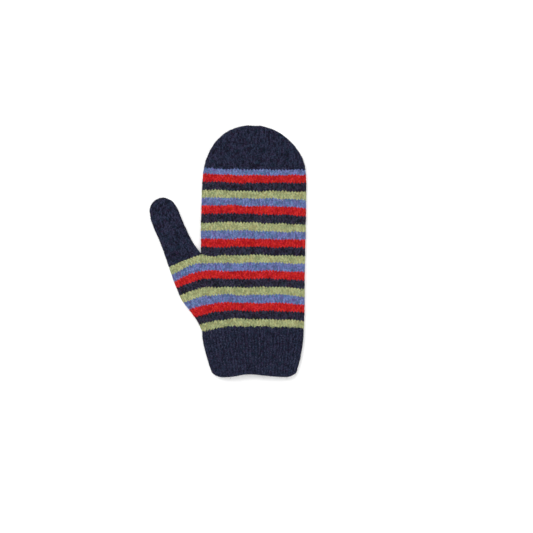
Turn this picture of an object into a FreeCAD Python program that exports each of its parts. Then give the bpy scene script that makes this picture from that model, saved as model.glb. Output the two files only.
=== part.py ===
"""A knitted mitten lying flat: ribbed cuff, twenty colour stripes, crown and thumb.

Millimetres.  The mitten lies on z = 0 with its fingertips towards +Y, its thumb towards -X
and its thickness along +Z.  The origin is the middle of its outline, on the surface it lies on.

The knitted wall is one hollow shell: an outer form less an inner one, each a hand outline joined
to a thumb outline.  Every length of yarn is a node of its own, cut from that shell between two
knitted rows.
"""
import FreeCAD
import Part
import Sketcher

import math
import os

SHEET = "dims"
STRIPE_COLOURS = ("green", "navy", "red", "blue")
STRIPE_SETS = 5
STRIPES = STRIPE_SETS * len(STRIPE_COLOURS)
THUMB_ROW = 9        # the row line at which the thumb leaves the hand
FINGER_ROW = 13      # the row line across the knuckles, where the fingers fold

DIMENSIONS = {
    "thickness": 18.0,
    "wall": 3.0,
    "outer_round": 8.5,
    "inner_round": 5.5,
    # hand
    "crown_x": 26.0,
    "crown_y": 74.5,
    "crown_radius": 52.0,
    "palm_left": -27.5,
    "palm_y": -20.0,
    "crotch_x": -27.3,
    "crotch_y": -1.8,
    "wrist_left": -26.5,
    "wrist_right": 76.0,
    "wrist_y": -76.0,
    "mouth_left": -15.0,
    "mouth_right": 68.8,
    "mouth_y": -126.5,
    "mouth_round": 9.0,
    "run_out": 14.0,
    # thumb
    "tip_x": -64.2,
    "tip_y": 40.5,
    "tip_radius": 13.8,
    "tip_top_angle": 110.0,
    "right_angle": 15.0,
    "right_bend": 140.0,
    "web_lean": 34.0,
    "web_depth": 2.6,
    "left_lean": 20.5,
    "left_length": 81.0,
    "gusset_lean": 33.0,
    "gusset_length": 74.0,
    "thumb_inside": 38.0,
    # knitted rows
    "first_row_y": -75.0,
    "stripe_height": 7.97,
    "top_stripe_height": 5.8,
    "row_dip": 5.0,
    "knee_x": 8.0,
    "gusset_x": -24.0,
    "gusset_reach": 68.0,
    "gusset_drop": 42.8,
    "gusset_bend": 94.0,
    "reach": 95.0,
    "crown_reach": 140.0,
    "web_trim": 0.4,
    "side_room": 1.0,
    "row_gap": 0.1,
    "joint_gap": 0.3,
    # closing yarns
    "yarn_radius": 1.0,
    "yarn_play": 0.1,
    "yarn_arc": 120.0,
}


def make_sheet(doc):
    """The driving dimensions, one named cell each."""
    sheet = doc.addObject("Spreadsheet::Sheet", SHEET)
    for row, (name, value) in enumerate(DIMENSIONS.items(), start=1):
        sheet.set(f"A{row}", name)
        sheet.set(f"B{row}", str(value))
        sheet.setAlias(f"B{row}", name)
    doc.recompute()
    return sheet


def dim(name):
    return f"{SHEET}.{name}"


def degrees(name):
    return f"{SHEET}.{name} * 1 deg"


def number(owner, expression):
    """The value that an expression has now."""
    value = owner.evalExpression(expression)
    return float(getattr(value, "Value", value))


def arc_between(start, end, radius):
    """The shorter arc from start to end; a negative radius bends it to the other side."""
    chord = end - start
    side = FreeCAD.Vector(-chord.y, chord.x, 0).normalize()
    away = math.sqrt(max(radius * radius - chord.Length ** 2 / 4, 0.0))
    centre = (start + end) * 0.5 + side * (away if radius > 0 else -away)
    ends = [math.atan2(point.y - centre.y, point.x - centre.x) for point in (start, end)]
    circle = Part.Circle(centre, FreeCAD.Vector(0, 0, 1), abs(radius))
    if radius > 0:
        return Part.ArcOfCircle(circle, ends[0], ends[1])
    return Part.ArcOfCircle(circle, ends[1], ends[0])


def draw(sketch, corners):
    """A closed outline.  Each corner is (x, y, radius to the next corner or None), expressions."""
    points = [FreeCAD.Vector(number(sketch, x), number(sketch, y), 0) for x, y, _ in corners]
    starts = []
    for index, (_, _, radius) in enumerate(corners):
        start, end = points[index], points[(index + 1) % len(points)]
        if radius is None:
            sketch.addGeometry(Part.LineSegment(start, end), False)
            starts.append((1, 2))
            continue
        bend = number(sketch, radius)
        sketch.addGeometry(arc_between(start, end, bend), False)
        starts.append((1, 2) if bend > 0 else (2, 1))
    for index in range(len(corners)):
        after = (index + 1) % len(corners)
        joined = Sketcher.Constraint("Coincident", index, starts[index][1], after, starts[after][0])
        sketch.addConstraint(joined)
    for index, (x, y, radius) in enumerate(corners):
        for axis, kind, value, expression in (
            ("x", "DistanceX", points[index].x, x),
            ("y", "DistanceY", points[index].y, y),
        ):
            where = Sketcher.Constraint(kind, -1, 1, index, starts[index][0], value)
            bind(sketch, where, f"{axis}{index}", expression)
        if radius is not None:
            bend = number(sketch, radius)
            size = Sketcher.Constraint("Radius", index, abs(bend))
            bind(sketch, size, f"bend{index}", radius if bend > 0 else f"-({radius})")


def bind(sketch, constraint, name, expression):
    """Adds a named constraint whose value follows an expression."""
    number_in_sketch = sketch.addConstraint(constraint)
    sketch.renameConstraint(number_in_sketch, name)
    sketch.setExpression(f"Constraints.{name}", expression)


def padded_outline(doc, name, corners, base, height):
    """A body: the outline, raised to base and padded by height along +Z."""
    body = doc.addObject("PartDesign::Body", name)
    sketch = body.newObject("Sketcher::SketchObject", f"{name}_outline")
    plane = [item for item in body.Origin.OriginFeatures if item.Role == "XY_Plane"][0]
    sketch.AttachmentSupport = [(plane, "")]
    sketch.MapMode = "FlatFace"
    sketch.setExpression("AttachmentOffset.Base.z", base)
    draw(sketch, corners)
    pad = body.newObject("PartDesign::Pad", f"{name}_pad")
    pad.Profile = sketch
    pad.setExpression("Length", height)
    doc.recompute()
    return body, pad


def round_flat_edges(doc, body, pad, radius):
    """Rounds the rims of a padded body's two flat faces."""
    rims = []
    for index, edge in enumerate(pad.Shape.Edges, start=1):
        low, high = edge.BoundBox.ZMin, edge.BoundBox.ZMax
        if high - low < 1e-6:
            rims.append(f"Edge{index}")
    fillet = body.newObject("PartDesign::Fillet", f"{body.Name}_rims")
    fillet.Base = (pad, rims)
    fillet.setExpression("Radius", radius)
    doc.recompute()


def hand_corners(inset):
    """The hand and cuff, run out past the mouth of the cuff, set in from the outline by inset."""
    low_y = f"{dim('mouth_y')} - {dim('run_out')}"
    rise = f"({dim('wrist_y')} - {dim('mouth_y')})"

    def run_out(side):
        lean = f"({dim('mouth_' + side)} - {dim('wrist_' + side)})"
        return f"{dim('mouth_' + side)} + {lean} * {dim('run_out')} / {rise}"

    crown = f"{dim('crown_radius')} - {inset}"
    return [
        (f"{run_out('left')} + {inset}", low_y, None),
        (f"{run_out('right')} - {inset}", low_y, None),
        (f"{dim('wrist_right')} - {inset}", dim("wrist_y"), None),
        (f"{dim('crown_x')} + {crown}", dim("crown_y"), crown),
        (dim("crown_x"), f"{dim('crown_y')} + {crown}", crown),
        (f"{dim('crown_x')} - ({crown})", dim("crown_y"), None),
        (f"{dim('palm_left')} + {inset}", dim("palm_y"), None),
        (f"{dim('wrist_left')} + {inset}", dim("wrist_y"), None),
    ]


def thumb_corners(inset):
    """The thumb and its gusset, run into the hand, set in from the outline by inset."""
    tip = f"({dim('tip_radius')} - {inset})"
    left, gusset, web = degrees("left_lean"), degrees("gusset_lean"), degrees("web_lean")
    middle = f"({left} + {gusset}) / 2"
    half_kink = f"({gusset} - {left}) / 2"

    def on_tip(angle):
        return (f"{dim('tip_x')} + {tip} * cos({angle})", f"{dim('tip_y')} + {tip} * sin({angle})")

    right = on_tip(degrees("right_angle"))
    top = on_tip(degrees("tip_top_angle"))
    leaving = on_tip(f"{left} + 180 deg")
    full = dim("tip_radius")
    kink_x = f"{dim('tip_x')} - {full} * cos({left}) + {dim('left_length')} * sin({left})"
    kink_y = f"{dim('tip_y')} - {full} * sin({left}) - {dim('left_length')} * cos({left})"
    root_x = f"{kink_x} + {dim('gusset_length')} * sin({gusset})"
    root_y = f"{kink_y} - {dim('gusset_length')} * cos({gusset})"
    web_x = f"{dim('crotch_x')} + {dim('web_depth')} * sin({web}) - {inset} * cos({web})"
    web_y = f"{dim('crotch_y')} - {dim('web_depth')} * cos({web}) - {inset} * sin({web})"
    return [
        (*right, tip),
        (*top, tip),
        (*leaving, None),
        (
            f"{kink_x} + {inset} * cos({middle}) / cos({half_kink})",
            f"{kink_y} + {inset} * sin({middle}) / cos({half_kink})",
            None,
        ),
        (f"{root_x} + {inset} * cos({gusset})", f"{root_y} + {inset} * sin({gusset})", None),
        (
            f"{web_x} + {dim('thumb_inside')} * sin({web})",
            f"{web_y} - {dim('thumb_inside')} * cos({web})",
            None,
        ),
        (web_x, web_y, f"-({dim('right_bend')} + {inset})"),
    ]


def make_form(doc, name, inset, base, height, rounding):
    """The hand and thumb outlines as one rounded solid."""
    parts = []
    for label, corners in (("hand", hand_corners(inset)), ("thumb", thumb_corners(inset))):
        body, pad = padded_outline(doc, f"{name}_{label}", corners, base, height)
        round_flat_edges(doc, body, pad, rounding)
        parts.append(body)
    form = doc.addObject("Part::Fuse", f"{name}_form")
    form.Base, form.Tool = parts
    return form


def make_shell(doc):
    """The knitted wall, open past the mouth of the cuff."""
    outer = make_form(doc, "outer", "0", "0", dim("thickness"), dim("outer_round"))
    hollow = f"{dim('thickness')} - 2 * {dim('wall')}"
    inner = make_form(doc, "inner", dim("wall"), dim("wall"), hollow, dim("inner_round"))
    shell = doc.addObject("Part::Cut", "shell")
    shell.Base = outer
    shell.Tool = inner
    return shell


def row_y(index):
    """Height of a row line in the middle of the hand."""
    if index < STRIPES:
        return f"({dim('first_row_y')} + {index} * {dim('stripe_height')})"
    whole = f"{dim('first_row_y')} + {STRIPES - 1} * {dim('stripe_height')}"
    return f"({whole} + {dim('top_stripe_height')})"


def bent_row(index, shift, leftwards):
    """A row line over the hand and down over the gusset, moved up by shift."""
    dip = f"{dim('row_dip')} * {((THUMB_ROW - index) / THUMB_ROW) ** 2:.4f}"
    level = f"{row_y(index)} + {shift}"
    gusset_y = f"{level} - {dip}"
    far = (f"{dim('gusset_x')} - {dim('gusset_reach')}", f"{gusset_y} - {dim('gusset_drop')}")
    points = [(dim("reach"), level), (dim("knee_x"), level), (dim("gusset_x"), gusset_y), far]
    if leftwards:
        bends = [None, None, dim("gusset_bend"), None]
    else:
        points.reverse()
        bends = [f"-{dim('gusset_bend')}", None, None, None]
    return [(*point, bend) for point, bend in zip(points, bends)]


def straight_row(index, shift, leftwards, side):
    """A row line over the fingers only, from a side line beside the crotch."""
    level = f"{row_y(index)} + {shift}"
    ends = [dim("reach"), f"{dim('crotch_x')} + {side}"]
    if not leftwards:
        ends.reverse()
    return [(x, level, None) for x in ends]


def stripe_corners(index):
    """The space between two row lines, less the gap to the row above."""
    folds = index + 1 in (THUMB_ROW, FINGER_ROW)
    gap = f"-{dim('joint_gap' if folds else 'row_gap')}"
    if index < THUMB_ROW:
        return bent_row(index, "0", False) + bent_row(index + 1, gap, True)
    side = dim("web_trim") if index == THUMB_ROW else f"-{dim('side_room')}"
    return straight_row(index, "0", False, side) + straight_row(index + 1, gap, True, side)


def cuff_corners():
    """The space below the first row line, down to the mouth with its two rounded corners."""
    rise = f"({dim('wrist_y')} - {dim('mouth_y')})"
    turn = dim("mouth_round")

    def outside(side):
        lean = f"({dim('wrist_' + side)} - {dim('mouth_' + side)}) / {rise}"
        return f"{dim('mouth_' + side)} + {turn} * {lean}"

    mouth, shoulder = dim("mouth_y"), f"{dim('mouth_y')} + {turn}"
    lower = [
        (f"-{dim('reach')}", shoulder, None),
        (outside("left"), shoulder, f"{turn} * 1.12"),
        (f"{dim('mouth_left')} + {turn}", mouth, None),
        (f"{dim('mouth_right')} - {turn}", mouth, f"{turn} * 1.08"),
        (outside("right"), shoulder, None),
        (dim("reach"), shoulder, None),
    ]
    return lower + bent_row(0, f"-{dim('joint_gap')}", True)


def crown_corners():
    level = row_y(STRIPES)
    return [
        (f"{dim('crotch_x')} - 5", level, None),
        (dim("reach"), level, None),
        (dim("reach"), dim("crown_reach"), None),
        (f"{dim('crotch_x')} - 5", dim("crown_reach"), None),
    ]


def thumb_space_corners():
    """Left of the crotch, above the row line where the thumb begins."""
    side = f"{dim('crotch_x')} - {dim('joint_gap')} / 2"
    far, corner = bent_row(THUMB_ROW, "0", False)[:2]
    return [
        far,
        (side, f"{row_y(THUMB_ROW)} - {dim('joint_gap')} * 2", None),
        (side, dim("crown_y"), None),
        (far[0], dim("crown_y"), None),
    ]


def cut_from_shell(doc, shell, name, corners):
    """The part of the wall that lies in a space padded right through its thickness."""
    space, _ = padded_outline(doc, f"{name}_space", corners, "-1", f"{dim('thickness')} + 2")
    piece = doc.addObject("Part::Common", name)
    piece.Base = shell
    piece.Tool = space
    piece.Label = name
    return piece


def closing_arc(doc, name, centre, radius, first_angle, arc, thread):
    """An arc of round yarn at mid thickness, on the inside of a rounded end."""
    torus = doc.addObject("Part::Torus", name)
    torus.setExpression("Radius1", radius)
    torus.setExpression("Radius2", thread)
    torus.setExpression("Angle3", arc)
    torus.setExpression("Placement.Base.x", centre[0])
    torus.setExpression("Placement.Base.y", centre[1])
    torus.setExpression("Placement.Base.z", f"{dim('thickness')} / 2")
    torus.setExpression("Placement.Rotation.Angle", first_angle)
    return torus


def sewn_end(doc, name, seam_name, closed_end, centre, radius, middle_angle):
    """A closed end with a channel for the yarn that draws it shut, and that yarn."""
    arc = f"{dim('yarn_arc')} * 1 deg"
    first = f"{middle_angle} - {arc} / 2"
    seam = closing_arc(doc, seam_name, centre, radius, first, arc, dim("yarn_radius"))
    seam.Label = seam_name
    room = f"{dim('yarn_radius')} + {dim('yarn_play')}"
    wider = f"{arc} + 2 deg"
    wide_first = f"{first} - 1 deg"
    channel = closing_arc(doc, f"{seam_name}_channel", centre, radius, wide_first, wider, room)
    end = doc.addObject("Part::Cut", name)
    end.Base = closed_end
    end.Tool = channel
    end.Label = name
    return [end, seam]


def make_mitten(doc):
    """Every node of the mitten, from the cuff to the fingertips, then the thumb."""
    shell = make_shell(doc)
    nodes = [cut_from_shell(doc, shell, "cuff_rib", cuff_corners())]
    for index in range(STRIPES):
        colour = STRIPE_COLOURS[index % len(STRIPE_COLOURS)]
        name = f"{colour}_stripe_{index // len(STRIPE_COLOURS) + 1}"
        nodes.append(cut_from_shell(doc, shell, name, stripe_corners(index)))
    crown = cut_from_shell(doc, shell, "crown_wall", crown_corners())
    thumb = cut_from_shell(doc, shell, "thumb_wall", thumb_space_corners())
    nodes += sewn_end(
        doc, "crown_cap", "crown_seam", crown,
        (dim("crown_x"), dim("crown_y")), f"{dim('crown_radius')} - {dim('wall')}", "90 deg",
    )
    nodes += sewn_end(
        doc, "thumb_tube", "thumb_seam", thumb,
        (dim("tip_x"), dim("tip_y")), f"{dim('tip_radius')} - {dim('wall')}",
        degrees("tip_top_angle"),
    )
    return nodes


def check(doc, nodes):
    """Stops on any failed object or bad shape."""
    for item in doc.Objects:
        if "Invalid" in item.State or "Error" in item.State:
            raise RuntimeError(f"{item.Name} failed: {item.State}")
    for node in nodes:
        shape = node.Shape
        if shape.isNull() or not shape.isValid() or len(shape.Solids) != 1:
            raise RuntimeError(f"{node.Label} is not one sound solid")


def main():
    doc = FreeCAD.newDocument("mitten")
    make_sheet(doc)
    nodes = make_mitten(doc)
    doc.recompute()
    check(doc, nodes)
    os.makedirs("parts", exist_ok=True)
    whole = FreeCAD.BoundBox()
    for node in nodes:
        node.Shape.exportStep(os.path.join("parts", f"{node.Label}.step"))
        whole.add(node.Shape.BoundBox)
        print(f"{node.Label:16s} {node.Shape.Volume:9.1f} mm3  {len(node.Shape.Faces)} faces")
    print(f"{len(nodes)} nodes, {whole}")


main()
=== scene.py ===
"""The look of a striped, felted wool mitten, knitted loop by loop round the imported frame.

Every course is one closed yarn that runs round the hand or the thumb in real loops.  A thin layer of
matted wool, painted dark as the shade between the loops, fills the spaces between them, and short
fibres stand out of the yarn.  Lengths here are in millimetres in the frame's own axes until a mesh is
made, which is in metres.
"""
import math

import bpy
import numpy as np
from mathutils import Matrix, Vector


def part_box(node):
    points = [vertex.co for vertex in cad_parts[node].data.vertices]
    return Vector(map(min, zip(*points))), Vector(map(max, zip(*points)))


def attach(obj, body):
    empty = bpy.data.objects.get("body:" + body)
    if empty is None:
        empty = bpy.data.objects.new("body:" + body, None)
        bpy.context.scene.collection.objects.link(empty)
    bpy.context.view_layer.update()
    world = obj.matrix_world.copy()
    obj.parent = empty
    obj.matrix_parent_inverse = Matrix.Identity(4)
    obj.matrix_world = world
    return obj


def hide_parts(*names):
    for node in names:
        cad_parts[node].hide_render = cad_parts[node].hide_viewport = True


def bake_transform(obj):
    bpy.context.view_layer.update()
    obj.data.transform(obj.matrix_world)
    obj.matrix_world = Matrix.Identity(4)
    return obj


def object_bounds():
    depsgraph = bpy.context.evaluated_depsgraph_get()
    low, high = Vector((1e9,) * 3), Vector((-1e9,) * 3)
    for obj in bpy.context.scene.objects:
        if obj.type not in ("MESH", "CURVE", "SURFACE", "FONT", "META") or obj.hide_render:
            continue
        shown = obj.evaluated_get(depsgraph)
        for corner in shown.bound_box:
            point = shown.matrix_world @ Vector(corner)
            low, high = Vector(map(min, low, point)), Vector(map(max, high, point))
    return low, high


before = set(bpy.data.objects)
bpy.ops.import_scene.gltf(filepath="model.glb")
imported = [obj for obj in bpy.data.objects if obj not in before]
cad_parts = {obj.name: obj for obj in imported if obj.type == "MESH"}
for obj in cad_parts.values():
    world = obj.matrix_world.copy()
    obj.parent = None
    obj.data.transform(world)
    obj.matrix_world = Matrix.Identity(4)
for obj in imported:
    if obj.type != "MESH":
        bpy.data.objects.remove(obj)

MM = 0.001
cad_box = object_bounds()
LOW, HIGH = (np.array(corner) / MM for corner in cad_box)

# ------------------------------
# Sizes


def low_y(node):
    """Where a node begins, counted towards the fingertips."""
    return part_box(node)[0].y / MM


COLOURS = ("green", "navy", "red", "blue")
STRIPE_COUNT = 20
CROTCH_STRIPE = 9      # the first stripe above the thumb
CROWN_STRIPE = 17      # the first stripe that the finger fold leaves alone
COURSES_A_STRIPE = 3
CROTCH_ROW = CROTCH_STRIPE * COURSES_A_STRIPE
TOP_STRIPE_ROW = (STRIPE_COUNT - 1) * COURSES_A_STRIPE
TOP_STRIPE_COURSES = 2
CROWN_ROW = TOP_STRIPE_ROW + TOP_STRIPE_COURSES

CROTCH_Y = low_y("navy_stripe_3")
STRIPE = (low_y("red_stripe_5") - CROTCH_Y) / 9
COURSE = STRIPE / COURSES_A_STRIPE
FIRST_Y = CROTCH_Y - CROTCH_STRIPE * STRIPE
TOP_STRIPE_Y = FIRST_Y + (STRIPE_COUNT - 1) * STRIPE
CROWN_Y = low_y("crown_cap")
CUFF_COURSES = 19
MOUTH_Y = LOW[1] + 1.35

WALE = 3.2             # width of a stitch
YARN = 0.8             # radius of the yarn
LOOP_DEPTH = 0.5       # how far the legs stand in front of the heads
LOOP_REACH = 1.02      # half the height of a loop, in courses
LEG_LEAN = 0.19        # how far a leg leans, in wales
SKIN = 1.3             # from the middle of the fabric to its outer face
EDGE = 0.95            # the same, as the outline's side folds show it
FOLD = 4.5             # radius of the fabric's middle round a side fold
FULLNESS = HIGH[2] - LOW[2] - 2 * SKIN - 2 * FOLD
WALL = 3.0
SUB = 4                # table rows to a course

CROTCH = (-27.6, -1.8)
CENTRE_X = 25.5
CREASE_X = -25.0       # where the hand ends and the thumb's gusset begins
CROWN_CENTRE = (26.0, 74.5)
CROWN_RADIUS = 52.0
TIP_CENTRE = (-65.2, 40.2)
TIP_RADIUS = 13.7
THUMB_LEAN = math.radians(24.0)
THUMB_ORIGIN = np.array((-42.7, -9.2))
ALONG_THUMB = np.array((-math.sin(THUMB_LEAN), math.cos(THUMB_LEAN)))
ACROSS_THUMB = np.array((math.cos(THUMB_LEAN), math.sin(THUMB_LEAN)))
THUMB_HALF = 16.5      # half the thumb's width

rng = np.random.default_rng(20)

# ------------------------------
# The outline, seen from above


def arc(centre, radius, first, last, count):
    """Points on an arc, by angles in degrees."""
    turn = np.radians(np.linspace(first, last, count))
    return np.stack([centre[0] + radius * np.cos(turn), centre[1] + radius * np.sin(turn)], 1)


def smooth(points, steps=6):
    """A Catmull-Rom curve through points."""
    points = np.array(points, float)
    ends = np.concatenate([[2 * points[0] - points[1]], points, [2 * points[-1] - points[-2]]])
    where = np.linspace(0, 1, steps, endpoint=False)[:, None]
    runs = []
    for before, start, stop, after in zip(ends, ends[1:], ends[2:], ends[3:]):
        runs.append(0.5 * (
            2 * start + (stop - before) * where
            + (2 * before - 5 * start + 4 * stop - after) * where ** 2
            + (3 * start - before - 3 * stop + after) * where ** 3
        ))
    return np.concatenate(runs + [points[-1:]])


CUFF_LEFT = smooth([
    (-4, -152), (-9.5, -139), (-14.6, -126), (-18.7, -114.5), (-22.4, -102.5), (-25.2, -90.5),
    (-26.6, -79),
])
GUSSET_LEFT = smooth([(-29.4, -72.5), (-33.1, -66.5), (-42.3, -54.5), (-46.6, -48.5), (-49.5, -42.5)])
THUMB_LEFT = smooth([(-54.2, -30.5), (-60.5, -12.5), (-67.5, 7.5), (-74.5, 23.5), (-77.4, 31.5)])
THUMB_TIP = arc(TIP_CENTRE, TIP_RADIUS, 183, 32, 24)
THUMB_RIGHT = smooth([
    (-51.2, 43.5), (-49.3, 39.5), (-47.8, 35.5), (-46.3, 31.5), (-40.9, 19.5), (-34.7, 7.5), CROTCH,
])
HAND_LEFT = smooth([CROTCH, (-27.4, 6), (-27.5, 22), (-27.1, 41), (-26.5, 58), (-25.9, 71)])
CROWN = smooth([
    (-25.4, 77.5), (-23.0, 89.5), (-18.1, 101.5), (-9.4, 113.5), (4, 122.6), (24, 126.6),
    (43, 122.9), (58.5, 113.5), (69.5, 101.5), (75.6, 89.5), (77.6, 77.5),
])
HAND_RIGHT = smooth([(78.0, 68), (77.8, 48), (77.3, 15), (76.5, -24), (76.3, -55), (75.8, -72)])
CUFF_RIGHT = smooth([
    (75.5, -80), (74.8, -90.5), (72.9, -102.5), (70.1, -114.5), (66.4, -126), (61, -139), (55, -152),
])

WHOLE = np.concatenate([
    CUFF_LEFT, GUSSET_LEFT, THUMB_LEFT, THUMB_TIP, THUMB_RIGHT, HAND_LEFT[1:], CROWN, HAND_RIGHT,
    CUFF_RIGHT,
])
HAND = np.concatenate([[(-27.6, -60), (-27.5, -20)], HAND_LEFT, CROWN, HAND_RIGHT])
THUMB = np.concatenate([
    GUSSET_LEFT[-1:], THUMB_LEFT, THUMB_TIP, THUMB_RIGHT, [np.array(CROTCH) - 40 * ALONG_THUMB],
])


BATCH = 4096           # points measured at a time


def depth_inside(outline, points):
    """How far points are inside a closed outline; negative outside."""
    start, stop = outline, np.roll(outline, -1, axis=0)
    run = stop - start
    result = np.empty(len(points))
    for first in range(0, len(points), BATCH):
        part = points[first:first + BATCH]
        off = part[:, None, :] - start[None]
        along = np.clip((off * run).sum(-1) / (run * run).sum(-1), 0, 1)
        gap = off - along[..., None] * run
        nearest = np.sqrt((gap * gap).sum(-1).min(1))
        above = start[None, :, 1] > part[:, None, 1]
        crosses = above != (stop[None, :, 1] > part[:, None, 1])
        with np.errstate(divide="ignore", invalid="ignore"):
            level = start[:, 0] + (part[:, None, 1] - start[:, 1]) * run[:, 0] / run[:, 1]
        inside = ((part[:, None, 0] < level) & crosses).sum(1) % 2 == 1
        result[first:first + BATCH] = np.where(inside, nearest, -nearest)
    return result


def fullness_field(reach=14.0, passes=1600):
    """How full the mitten is at each millimetre of the plan: 0 at the outline, near 1 far inside.

    Repeated averaging settles to the height of a loose skin that the outline holds down over about
    the reach.  The plan runs on past the mouth, where nothing holds it down.
    """
    margin, past_mouth = 3, 24
    xs = np.arange(LOW[0] - margin, HIGH[0] + margin)
    ys = np.arange(LOW[1] - past_mouth, HIGH[1] + margin)
    grid = np.stack(np.meshgrid(xs, ys), -1).reshape(-1, 2)
    inside = (depth_inside(WHOLE, grid) > EDGE).reshape(len(ys), len(xs))
    spread = reach ** 2
    field = np.zeros(inside.shape)
    for _ in range(passes):
        around = np.zeros_like(field)
        around[1:] += field[:-1]
        around[:-1] += field[1:]
        around[:, 1:] += field[:, :-1]
        around[:, :-1] += field[:, 1:]
        around[0] += field[0]
        field = np.where(inside, (around * spread + 1) / (1 + 4 * spread), 0)
    return xs, ys, field


FIELD = fullness_field()


def fullness(points):
    """The fullness at points, read from the field between its grid points."""
    xs, ys, field = FIELD
    across = np.clip(points[:, 0] - xs[0], 0, len(xs) - 1.001)
    up = np.clip(points[:, 1] - ys[0], 0, len(ys) - 1.001)
    i, j = across.astype(int), up.astype(int)
    a, b = across - i, up - j
    low = field[j, i] * (1 - a) + field[j, i + 1] * a
    high = field[j + 1, i] * (1 - a) + field[j + 1, i + 1] * a
    return low * (1 - b) + high * b


SLACK_WAVES = (        # height, millimetres a radian along x and along y, phase
    (0.35, 13.0, 31.0, 0.6),
    (0.30, -41.0, 17.0, 2.0),
    (0.16, 6.1, -9.3, 0.0),
    (0.14, 8.9, 5.7, 1.0),
)


def slack(points):
    """The gentle rise and fall of the upper face."""
    x, y = points[:, 0], points[:, 1]
    return sum(
        height * np.sin(x / across + y / up + phase) for height, across, up, phase in SLACK_WAVES
    )


def faces_at(outline, points):
    """Heights of the fabric's middle on the upper and the lower face."""
    inset = np.clip(depth_inside(outline, points) - EDGE, 0, None)
    swing = np.sqrt(np.clip(1 - (1 - np.minimum(inset / FOLD, 1)) ** 2, 0, 1))
    full = fullness(points)
    rise = FOLD + FULLNESS * full ** 2 + slack(points) * full
    middle = SKIN + FOLD
    return middle + swing * rise, middle - swing * FOLD


# ------------------------------
# Row lines, seen from above.  Rows count from 0 where the rib meets the stripes, up to the
# fingertips, and below 0 down the cuff.


def fades(value, reach):
    """1 where the value is 0, fading to nothing a few times the reach away."""
    return math.exp(-(value / reach) ** 2)


def climb(profile_from, profile_to, height_at, steps_tried=800):
    """Places from profile_from up to profile_to, evenly spaced along the upper face."""
    places = profile_to - (profile_to - profile_from) * np.linspace(1, 0, steps_tried) ** 2
    heights = height_at(places)
    steps = np.hypot(np.diff(places), np.diff(heights))
    length = np.concatenate([[0], np.cumsum(steps)])
    count = int(round(length[-1] / COURSE))
    return np.interp(np.linspace(0, length[-1], count + 1), length, places)


JUST_INSIDE = 0.02     # how far short of an outline's tip the last row stays


def crown_rows():
    """Heights of the rows of the crown, up to its tip."""
    top = CROWN[:, 1].max() - EDGE - JUST_INSIDE

    def height(y):
        return faces_at(HAND, np.stack([np.full(len(y), CENTRE_X), y], 1))[0]

    return climb(CROWN_Y, top, height)


CROWN_ROWS = crown_rows()
LAST_ROW = CROWN_ROW + len(CROWN_ROWS) - 1


UNEVEN_ROWS = (        # how far rows lie above their even places, at which stripe, how many about it
    (1.2, 14.5, 1.8),
    (-0.8, 19.7, 1.1),
)
FIRST_ROW_RISE = 0.6   # where the rib ends
GREEN_TOP_DROP = 0.45  # at the upper edge of each green stripe


def level(row):
    """Height of a row in the middle of the hand."""
    stripe = row / COURSES_A_STRIPE
    uneven = FIRST_ROW_RISE * fades(stripe, 0.5)
    if row < 0:
        return FIRST_Y + row * (FIRST_Y - MOUTH_Y) / CUFF_COURSES + uneven
    rows = [0, TOP_STRIPE_ROW] + list(range(CROWN_ROW, LAST_ROW + 1))
    heights = [FIRST_Y, TOP_STRIPE_Y] + list(CROWN_ROWS)
    uneven += sum(rise * fades(stripe - middle, reach) for rise, middle, reach in UNEVEN_ROWS)
    half_round = len(COLOURS) / 2
    from_green_top = (stripe - 1 + half_round) % len(COLOURS) - half_round
    uneven -= GREEN_TOP_DROP * fades(from_green_top, 0.4)
    return float(np.interp(row, rows, heights)) + uneven


def ramp_up(value, start, span, most=1.0):
    """0 up to the start, then rising by 1 over the span, and never more than the most."""
    return np.minimum(np.clip((value - start) / span, 0, None), most)


def drape(x, row):
    """How far a row of the hand strays from level."""
    stripe = max(row, 0) / COURSES_A_STRIPE
    on_hand = 1 - min(max(-row / CUFF_COURSES, 0), 1)
    height = side_tilt(x, stripe) * (CENTRE_X - x) / 50
    # The two sides hang low next to the cuff, and the right one less so near the crown.
    drop_left = 4.7 * fades(stripe, 3.4)
    drop_right = 0.4 + 1.5 * fades(stripe, 6.0) - 1.2 * fades(stripe - 18.6, 1.5)
    height = height - on_hand * drop_left * ramp_up(-x, -7, 31, 1.05) ** 2
    height = height - on_hand * drop_right * ramp_up(x, 40, 30, 1.2) ** 1.6
    # The crotch pulls its own rows down.
    height = height - 0.7 * fades(stripe - CROTCH_STRIPE, 0.9) * np.exp(-((x + 20) / 16) ** 2)
    # Each row wavers.
    long_wave = 0.3 * np.sin(x / 9.5 + stripe * 0.55)
    short_wave = 0.25 * np.sin(x / 4.6 - stripe * 1.3 + 1.0)
    height = height + on_hand * (long_wave + short_wave)
    # Past the crease the rows run down round the gusset.
    beyond = np.clip(CREASE_X - x, 0, 60)
    slope = 0.15 + 0.12 * fades(stripe, 3.4)
    return height - slope * beyond - 0.0072 * beyond ** 2


def side_tilt(x, stripe):
    """How steeply a row rises to the left, on each side of the middle, as millimetres in 50."""
    left = 0.4 * ramp_up(stripe, CROTCH_STRIPE, 4) + 1.3 * ramp_up(stripe, 15.5, 3)
    right = 2.0 * fades(stripe - 13.8, 2.6)
    return np.where(x < CENTRE_X, left, right)


CORNER = 14.0          # radius of the mouth's rounded corners
CORNER_SPAN = 9.6      # how far in from the side that rounding starts
MOUTH_WAVE = 3.1       # how far the mouth's edge rises at its highest
MOUTH_WAVE_X = 20


def side_x(outline, y):
    """Where a side of the outline is at a height."""
    order = np.argsort(outline[:, 1])
    return float(np.interp(y, outline[order, 1], outline[order, 0]))


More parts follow.
